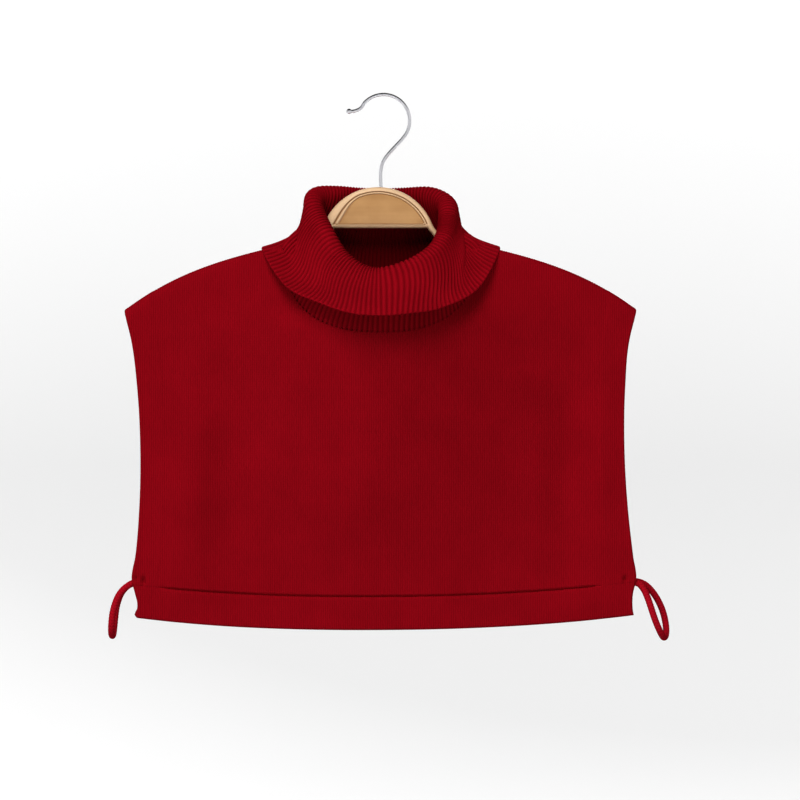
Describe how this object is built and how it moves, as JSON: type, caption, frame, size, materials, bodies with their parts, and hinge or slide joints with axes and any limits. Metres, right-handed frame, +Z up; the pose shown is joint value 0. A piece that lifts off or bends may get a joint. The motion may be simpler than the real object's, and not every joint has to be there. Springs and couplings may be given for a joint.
{
  "type": "knitted neck warmer on a hanger",
  "caption": "Sleeveless knitted neck warmer with a rolled rib collar, front and back bibs and side loops, shown on a wooden hanger with a wire hook.",
  "frame": {"origin": "inside of the crown of the hanger's hook, where a rail carries it", "axes": "+X to the right seen from the front, +Y from the front panel to the back panel, +Z up"},
  "size_m": [0.4603, 0.1054, 0.4488],
  "materials": {
    "knit": "deep red fine jersey knit, matt",
    "rib": "deep red one by one rib knit, matt",
    "cord": "deep red knitted tubular cord, matt",
    "wood": "light lotus wood, clear satin lacquer",
    "chrome": "polished chrome-plated steel wire"
  },
  "bodies": {
    "root": {"hanger_bar": "wood", "hanger_hook": "chrome", "front_panel": "knit", "back_panel": "knit", "front_hem_band": "knit", "back_hem_band": "knit", "roll_collar": "rib", "left_side_loop": "cord", "right_side_loop": "cord"}
  },
  "joints": []
}
